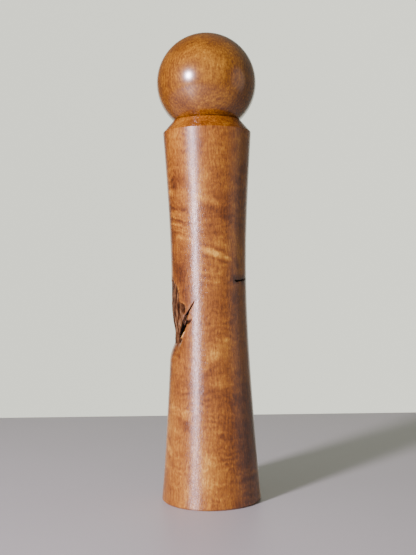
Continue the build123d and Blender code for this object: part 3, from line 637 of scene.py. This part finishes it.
class Shader:
    """One material's node tree, built socket by socket."""

    def __init__(self, name):
        self.material = bpy.data.materials.new(name)
        self.material.use_nodes = True
        self.tree = self.material.node_tree
        self.surface = self.tree.nodes["Principled BSDF"]
        coordinates = self.node("ShaderNodeTexCoord").outputs["Object"]
        # The place on the object, in millimetres.
        self.place = self.vector("SCALE", {0: coordinates, "Scale": 1 / MM})

    def node(self, kind, settings=None, inputs=None):
        """A new node with its settings made and its inputs fed."""
        made = self.tree.nodes.new(kind)
        for key, value in (settings or {}).items():
            setattr(made, key, value)
        for key, value in (inputs or {}).items():
            feed(self.tree, made.inputs[key], value)
        return made

    def set(self, **values):
        """Sets the surface's own inputs, with underscores for the spaces in their names."""
        for key, value in values.items():
            feed(self.tree, self.surface.inputs[key.replace("_", " ")], value)

    def math(self, operation, a, b=0.0, clamped=False):
        settings = {"operation": operation, "use_clamp": clamped}
        return self.node("ShaderNodeMath", settings, {0: a, 1: b}).outputs[0]

    def vector(self, operation, inputs, output=0):
        return self.node("ShaderNodeVectorMath", {"operation": operation}, inputs).outputs[output]

    def distance_to(self, point):
        """The distance in millimetres from each place to a point."""
        return self.vector("DISTANCE", {0: self.place, 1: point}, "Value")

    def height(self, source=None):
        """The upright coordinate in millimetres."""
        return self.node("ShaderNodeSeparateXYZ", None, {0: source or self.place}).outputs["Z"]

    def attribute(self, name):
        """A number kept at each of the mesh's points."""
        return self.node("ShaderNodeAttribute", {"attribute_name": name}).outputs["Fac"]

    def remap(self, value, low, high, to_low=0.0, to_high=1.0):
        """A smooth S-curve from to_low to to_high as the value goes from low to high."""
        made = self.node(
            "ShaderNodeMapRange",
            {"interpolation_type": "SMOOTHSTEP"},
            {"Value": value, "From Min": low, "From Max": high, "To Min": to_low, "To Max": to_high},
        )
        return made.outputs["Result"]

    def stretched(self, x, y, z, source=None):
        """Coordinates in millimetres with each axis scaled."""
        return self.vector("MULTIPLY", {0: source or self.place, 1: (x, y, z)})

    def noise(self, vector, detail, roughness, distortion=0.0, scale=1.0, output="Fac"):
        inputs = {"Vector": vector, "Scale": scale, "Detail": detail}
        inputs.update({"Roughness": roughness, "Distortion": distortion})
        return self.node("ShaderNodeTexNoise", None, inputs).outputs[output]

    def ramp(self, factor, stops):
        """A colour from (position, (red, green, blue)) stops."""
        made = self.node("ShaderNodeValToRGB", None, {"Fac": factor})
        ramp = made.color_ramp
        while len(ramp.elements) < len(stops):
            ramp.elements.new(0.5)
        for element, (at, colour) in zip(ramp.elements, stops):
            element.position = at
            element.color = (*colour, 1.0)
        return made.outputs["Color"]

    def mix(self, factor, a, b):
        """Colour a where the factor is 0 and colour b where it is 1."""
        made = self.node("ShaderNodeMix", {"data_type": "RGBA"}, {"Factor": factor})
        for socket, value in ((made.inputs[6], a), (made.inputs[7], b)):
            feed(self.tree, socket, (*value, 1.0) if isinstance(value, tuple) else value)
        return made.outputs[2]

    def bump(self, height, distance, strength=1.0, before=None):
        """A bump from a height in 0 to 1 that stands for that many millimetres."""
        inputs = {"Height": height, "Distance": distance * MM, "Strength": strength}
        if before:
            inputs["Normal"] = before
        return self.node("ShaderNodeBump", None, inputs).outputs["Normal"]


# ---- Wood ----
# The middles of the growth layers, of the rings on the ball's front and of its pale patch of painted
# glow beside the highlight.
BODY_PITH, BALL_PITH = (12.0, 46.0, 0.0), (-3.0, 70.0, 272.0)
RINGS_CENTRE, PAINTED_GLOW_CENTRE = (1.0, -62.0, 271.0), (4.0, -31.2, 273.5)


def wood_grain(shader, pith, rounding, warp, fleck):
    """The grain shared by both wooden parts: growth layers round an offset pith, bent by a slow
    warp, with clouds, short flecks and fine streaks along the grain. Gives the tone as an offset
    from the middle and the pores from 0 to 1. The rounding turns the layers from upright
    tubes into shells, and the fleck is the scale of the flecks along the grain."""
    slow = shader.noise(shader.stretched(0.030, 0.030, 0.020), 2.0, 0.5, output="Color")
    bend = shader.vector("MULTIPLY_ADD", {0: slow, 1: (warp, warp, warp * 0.6), 2: shader.place})
    from_pith = shader.vector("SUBTRACT", {0: bend, 1: pith})
    flat = shader.stretched(1.0, 1.0, rounding, from_pith)
    radius = shader.vector("LENGTH", {0: flat}, "Value")
    rise = shader.math("MULTIPLY", shader.height(bend), 0.006)
    layer_at = shader.node("ShaderNodeCombineXYZ", None, {"X": radius, "Z": rise}).outputs[0]
    parts = [
        # Growth layers, broad clouds, and blotches that are longer across the grain.
        (shader.noise(layer_at, 3.0, 0.6, scale=0.20), 0.45),
        (shader.noise(shader.stretched(0.045, 0.045, 0.034, bend), 2.0, 0.5, 0.6), 0.55),
        (shader.noise(shader.stretched(0.085, 0.085, 0.22, bend), 3.0, 0.6, 0.8), 0.48),
        # Flecks, fine streaks along the grain, and a fine mottle.
        (shader.noise(shader.stretched(0.90, 0.90, fleck), 2.0, 0.75, 0.3), 0.55),
        (shader.noise(shader.stretched(1.1, 1.1, 0.035, bend), 2.0, 0.6), 0.52),
        (shader.noise(shader.stretched(1.15, 1.15, 0.6), 1.0, 0.5), 0.42),
    ]
    tone = 0.0
    for source, amount in parts:
        part = shader.math("MULTIPLY", shader.math("SUBTRACT", source, 0.5), amount)
        tone = shader.math("ADD", tone, part)
    pores = shader.noise(shader.stretched(2.1, 2.1, 0.34), 2.0, 0.6)
    return tone, shader.remap(pores, 0.58, 0.72)


def rippled(shader, tone):
    """The tone with ripples across the grain added, in scattered patches."""
    wobble = shader.noise(shader.stretched(0.09, 0.09, 0.05), 3.0, 0.6)
    upward = shader.math("MULTIPLY", shader.height(), 1.35)
    ripple = shader.math("SINE", shader.math("ADD", upward, shader.math("MULTIPLY", wobble, 26.0)))
    patch = shader.noise(shader.stretched(0.05, 0.05, 0.030), 2.0, 0.5)
    strength = shader.remap(patch, 0.46, 0.66, 0.0, 0.085)
    return shader.math("ADD", tone, shader.math("MULTIPLY", ripple, strength))


def make_body_wood():
    """Figured wood under a satin finish. Its fine turning marks draw reflections out upwards and
    downwards. The bark, the crack and the knot are dull."""
    shader = Shader("body_wood")
    tone, pores = wood_grain(shader, BODY_PITH, 0.0, 16.0, 0.26)
    # The figure layer adds the wood's figure, with painted light and shade among it.
    tone = shader.math("ADD", rippled(shader, tone), shader.attribute("figure_and_painted_light"))
    colour = shader.ramp(shader.math("ADD", tone, 0.5, clamped=True), BODY_STOPS)
    colour = shader.mix(shader.math("MULTIPLY", pores, 0.50), colour, BODY_PORES)

    # The bark in the pocket, and the dark mask: painted shade in the crack and the knot's crack, and a
    # dark chip.
    bark, dark = shader.attribute("bark"), shader.attribute("dark")
    fibres = shader.noise(shader.stretched(0.55, 0.55, 0.18), 4.0, 0.62)
    colour = shader.mix(bark, colour, shader.ramp(fibres, BARK_STOPS))
    colour = shader.mix(dark, colour, PAINTED_CRACK_SHADE)
    dull = shader.math("MAXIMUM", bark, dark)

    # The finish is rougher towards the foot and the shoulder, and smoothest on the bevel above the
    # shoulder. The bevel and the faults hardly shine.
    z = shader.height()
    bevel = shader.remap(z, SHOULDER_Z - 0.6, SHOULDER_Z + 0.4)
    matt = shader.math("MAXIMUM", dull, shader.remap(bevel, 0.0, 1.0, 0.0, 0.97))
    patchy = shader.noise(shader.stretched(1.3, 1.3, 0.8), 2.0, 0.6)
    smear = shader.remap(patchy, 0.3, 0.7, 0.27, 0.46)
    near_foot = shader.remap(z, 15.0, 85.0, 0.12, 0.0)
    near_shoulder = shader.remap(z, 178.0, SHOULDER_Z, 0.0, 0.16)
    smear = shader.math("ADD", smear, shader.math("ADD", near_foot, near_shoulder))
    smear = shader.math("MULTIPLY", smear, shader.remap(bevel, 0.0, 1.0, 1.0, 0.42))
    roughness = shader.math("ADD", smear, shader.math("MULTIPLY", dull, 0.45), clamped=True)

    # Open pores, fine grain and slow waves, and coarse fibres in the bark.
    fine = shader.noise(shader.stretched(1.1, 1.1, 0.7), 3.0, 0.65)
    waves = shader.noise(shader.stretched(0.16, 0.16, 0.05), 2.0, 0.5)
    normal = shader.bump(shader.math("MULTIPLY", pores, -1.0), 0.03, 0.6)
    normal = shader.bump(fine, 0.17, 0.6, normal)
    normal = shader.bump(waves, 0.3, 0.6, normal)
    normal = shader.bump(shader.math("MULTIPLY", fibres, dull), 0.5, 1.0, normal)
    shader.set(
        Base_Color=colour,
        Roughness=roughness,
        Anisotropic=0.98,
        Anisotropic_Rotation=0.25,
        Tangent=shader.node("ShaderNodeTangent", {"direction_type": "RADIAL", "axis": "Z"}).outputs[0],
        Coat_Weight=shader.remap(matt, 0.0, 0.6, 0.5, 0.0),
        Coat_Roughness=0.32,
        IOR=1.5,
        Specular_IOR_Level=0.85,
        Specular_Tint=shader.mix(matt, WHITE, MATT_TINT),
        Normal=normal,
    )
    return shader.material


def make_ball_wood():
    """The same wood in shells, under a glossier coat."""
    shader = Shader("ball_wood")
    tone, pores = wood_grain(shader, BALL_PITH, 0.6, 11.0, 0.62)

    # Faint rings where the front cuts through the layers.
    swirl = shader.noise(shader.stretched(0.08, 0.08, 0.08), 3.0, 0.6)
    rings_at = shader.math("MULTIPLY", shader.distance_to(RINGS_CENTRE), 2.6)
    turns = shader.math("ADD", rings_at, shader.math("MULTIPLY", swirl, 30.0))
    strength = shader.remap(swirl, 0.35, 0.65, 0.025, 0.065)
    rings = shader.math("MULTIPLY", shader.math("SINE", turns), strength)

    # Painted light: a slightly lighter top, and a pale patch of painted glow on the front, beside the
    # highlight.
    top = shader.remap(shader.height(), 250.0, 292.0, -0.03, 0.05)
    pale = shader.remap(shader.distance_to(PAINTED_GLOW_CENTRE), 3.0, 17.0, 0.19, 0.0)
    rings_and_painted_light = shader.math("ADD", rings, shader.math("ADD", top, pale))
    tone = shader.math("ADD", shader.math("MULTIPLY", tone, 0.95), rings_and_painted_light)
    colour = shader.ramp(shader.math("ADD", tone, 0.47, clamped=True), BALL_STOPS)
    colour = shader.mix(shader.math("MULTIPLY", pores, 0.35), colour, BALL_PORES)

    fine = shader.noise(shader.stretched(1.2, 1.2, 1.2), 2.0, 0.6)
    worn = shader.noise(shader.stretched(0.12, 0.12, 0.12), 3.0, 0.6)
    normal = shader.bump(shader.math("MULTIPLY", pores, -1.0), 0.02, 0.4)
    normal = shader.bump(fine, 0.012, 0.4, normal)
    shader.set(
        Base_Color=colour,
        Roughness=shader.remap(worn, 0.3, 0.7, 0.34, 0.42),
        Coat_Weight=1.0,
        Coat_Roughness=0.20,
        Coat_IOR=1.7,
        Specular_IOR_Level=0.10,
        Normal=normal,
    )
    return shader.material


# ---- Mechanism materials ----
def make_plastic(name, dark, light, roughness, grain=0.02):
    """Moulded plastic with a fine grained skin and faint flow marks."""
    shader = Shader(name)
    flow = shader.noise(shader.stretched(0.12, 0.12, 0.12), 3.0, 0.6, 0.8)
    skin = shader.noise(shader.stretched(4.0, 4.0, 4.0), 2.0, 0.6)
    shader.set(
        Base_Color=shader.ramp(flow, [(0.25, dark), (0.75, light)]),
        Roughness=shader.remap(flow, 0.3, 0.7, roughness - 0.06, roughness + 0.06),
        Normal=shader.bump(skin, grain, 0.7),
        IOR=1.5,
    )
    return shader.material


def make_ceramic():
    """Fired white ceramic with a faint warm speckle and a sugary surface."""
    shader = Shader("burr_ceramic")
    speckle = shader.noise(shader.stretched(1.6, 1.6, 1.6), 4.0, 0.7)
    grains = shader.noise(shader.stretched(7.0, 7.0, 7.0), 2.0, 0.6)
    shader.set(
        Base_Color=shader.ramp(speckle, CERAMIC_STOPS),
        Roughness=shader.remap(speckle, 0.3, 0.7, 0.42, 0.55),
        Normal=shader.bump(grains, 0.02, 0.6),
        IOR=1.6,
    )
    return shader.material


def make_metal(name, dark, light, roughness, lines):
    """Bare metal with fine machining lines, drawn out along the axes that are scaled least."""
    shader = Shader(name)
    marks = shader.noise(shader.stretched(*lines), 4.0, 0.7)
    stain = shader.noise(shader.stretched(0.15, 0.15, 0.15), 3.0, 0.6)
    shader.set(
        Base_Color=shader.ramp(stain, [(0.3, dark), (0.7, light)]),
        Metallic=1.0,
        Roughness=shader.remap(marks, 0.25, 0.75, roughness - 0.08, roughness + 0.10),
        Normal=shader.bump(marks, 0.01, 0.8),
    )
    return shader.material


def dress(material, *nodes):
    """Gives CAD nodes a finished material in every slot."""
    for node in nodes:
        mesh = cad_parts[node].data
        if not mesh.materials:
            mesh.materials.append(material)
        for i in range(len(mesh.materials)):
            mesh.materials[i] = material


# ---- The wooden pieces ----
body = make_body()
body.data.materials.append(make_body_wood())
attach(body, "body")
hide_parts("mill_body")

ball = make_ball()
ball.data.materials.append(make_ball_wood())
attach(ball, "head")
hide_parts("head_ball")

# ---- The mechanism ----
housing_plastic = make_plastic("housing_plastic", (0.012, 0.012, 0.013), (0.024, 0.024, 0.026), 0.42)
dress(housing_plastic, "burr_housing", "shaft_guide", "burr_retainer", "feed_auger")
socket_plastic = make_plastic("socket_plastic", (0.015, 0.015, 0.015), (0.030, 0.030, 0.030), 0.36)
dress(socket_plastic, "shaft_socket")
knob_plastic = make_plastic("knob_plastic", (0.014, 0.014, 0.016), (0.028, 0.028, 0.031), 0.34, 0.03)
dress(knob_plastic, "adjusting_knob")
dress(make_plastic("bush_nylon", (0.60, 0.57, 0.48), (0.70, 0.67, 0.58), 0.40), "shaft_bush")
dress(make_ceramic(), "ring_burr", "cone_burr")

aluminium = make_metal("shaft_aluminium", (0.62, 0.63, 0.65), (0.74, 0.75, 0.76), 0.34, (3.5, 3.5, 0.03))
dress(aluminium, "drive_shaft")
steel_wire = make_metal("spring_steel", (0.40, 0.40, 0.41), (0.55, 0.55, 0.56), 0.26, (1.5, 1.5, 1.5))
dress(steel_wire, "socket_clip", "upper_clip", "lower_clip")
screw_steel = make_metal("screw_steel", (0.50, 0.50, 0.50), (0.63, 0.63, 0.62), 0.32, (1.2, 1.2, 1.2))
dress(screw_steel, "housing_screws", "spring_washer", "knob_washer")
brass = make_metal("nut_brass", (0.60, 0.40, 0.14), (0.74, 0.54, 0.22), 0.28, (0.3, 0.3, 3.0))
dress(brass, "knob_nut")

spring = make_spring()
spring.data.materials.append(steel_wire)
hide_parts("burr_spring")


# ---- Stage: a pale table top, a window's light from the left and a bright wall behind ----
# Each side of the room is a direction, where its glow starts and ends as the cosine of the angle to
# that direction, and how bright it gets. The first one ends below -1, so it is the same all round.
ROOM_SIDES = [
    ((0.0, 0.0, 1.0), -3.0, -1.5, 0.15),
    ((0.0, 1.0, 0.0), 0.84, 0.925, 1.44),
    ((1.0, 0.0, 0.0), -0.25, 0.25, 0.11),
    ((-0.5, -0.86, 0.05), 0.10, 1.0, 0.36),
]
ROOM_COLOUR = (0.775, 0.785, 0.68, 1.0)
# The height on the mill's axis that the lights face, and the camera's place, in metres. The roll is
# in radians, and the sensor and the lens are in millimetres.
LIT_HEIGHT = 0.16
CAMERA_AT, CAMERA_ROLL = (-0.00053, -0.53907, 0.14269), -0.0131
SENSOR_WIDTH, LENS = 36.0, 54.04


def make_floor():
    """A pale painted table top that ends behind the mill."""
    back, front, side = 0.325, -1.1, 1.2
    mesh = bpy.data.meshes.new("floor")
    corners = [(-side, front, 0.0), (side, front, 0.0), (side, back, 0.0), (-side, back, 0.0)]
    mesh.from_pydata(corners, [], [(0, 1, 2, 3)])
    floor = bpy.data.objects.new("floor", mesh)
    bpy.context.scene.collection.objects.link(floor)
    shader = Shader("floor_paint")
    cloud = shader.noise(shader.stretched(0.004, 0.004, 0.004), 3.0, 0.5)
    shader.set(Base_Color=shader.ramp(cloud, FLOOR_STOPS), Roughness=0.5)
    mesh.materials.append(shader.material)


def make_light(name, azimuth, elevation, distance, width, height, power, colour):
    """An area light that faces the mill's middle, with sizes in metres and the power in watts. The
    azimuth is in degrees to the left of the front."""
    data = bpy.data.lights.new(name, "AREA")
    data.shape = "ELLIPSE"
    data.size, data.size_y = width, height
    data.energy = power
    data.color = colour
    lamp = bpy.data.objects.new(name, data)
    a, e = math.radians(azimuth), math.radians(elevation)
    towards = Vector((-math.sin(a) * math.cos(e), -math.cos(a) * math.cos(e), math.sin(e)))
    target = Vector((0.0, 0.0, LIT_HEIGHT))
    lamp.location = target + towards * distance
    lamp.rotation_mode = "QUATERNION"
    lamp.rotation_quaternion = towards.to_track_quat("Z", "Y")
    bpy.context.scene.collection.objects.link(lamp)


def make_world():
    """A dim room with a bright wall behind the mill, a soft glow from the front left and a weaker
    one from the right."""
    world = bpy.data.worlds.new("room")
    bpy.context.scene.world = world
    world.use_nodes = True
    tree = world.node_tree
    background = tree.nodes["Background"]
    towards = tree.nodes.new("ShaderNodeTexCoord").outputs["Generated"]
    total = 0.0
    for facing, start, end, glow in ROOM_SIDES:
        cosine = tree.nodes.new("ShaderNodeVectorMath")
        cosine.operation = "DOT_PRODUCT"
        feed(tree, cosine.inputs[0], towards)
        feed(tree, cosine.inputs[1], Vector(facing).normalized())
        fade = tree.nodes.new("ShaderNodeMapRange")
        fade.interpolation_type = "SMOOTHSTEP"
        feed(tree, fade.inputs["Value"], cosine.outputs["Value"])
        for name, value in (("From Min", start), ("From Max", end), ("To Min", 0.0), ("To Max", glow)):
            feed(tree, fade.inputs[name], value)
        both = tree.nodes.new("ShaderNodeMath")
        feed(tree, both.inputs[0], total)
        feed(tree, both.inputs[1], fade.outputs["Result"])
        total = both.outputs[0]
    feed(tree, background.inputs["Strength"], total)
    feed(tree, background.inputs["Color"], ROOM_COLOUR)


def make_camera():
    """A level camera in front of the mill, a little below its middle, with a slight roll."""
    data = bpy.data.cameras.new("camera")
    data.sensor_width = SENSOR_WIDTH
    data.lens = LENS
    camera = bpy.data.objects.new("camera", data)
    level = Matrix.Rotation(math.radians(90.0), 4, "X")
    roll = Matrix.Rotation(CAMERA_ROLL, 4, "Z")
    camera.matrix_world = Matrix.Translation(CAMERA_AT) @ level @ roll
    bpy.context.scene.collection.objects.link(camera)
    bpy.context.scene.camera = camera


make_floor()
make_world()
make_light("window", 40.0, 13.0, 1.2, 0.17, 0.20, 31.0, (1.0, 0.85, 1.01))
make_light("far_room", -78.0, 6.0, 1.3, 0.90, 1.10, 1.7, (1.0, 0.72, 0.64))
make_camera()
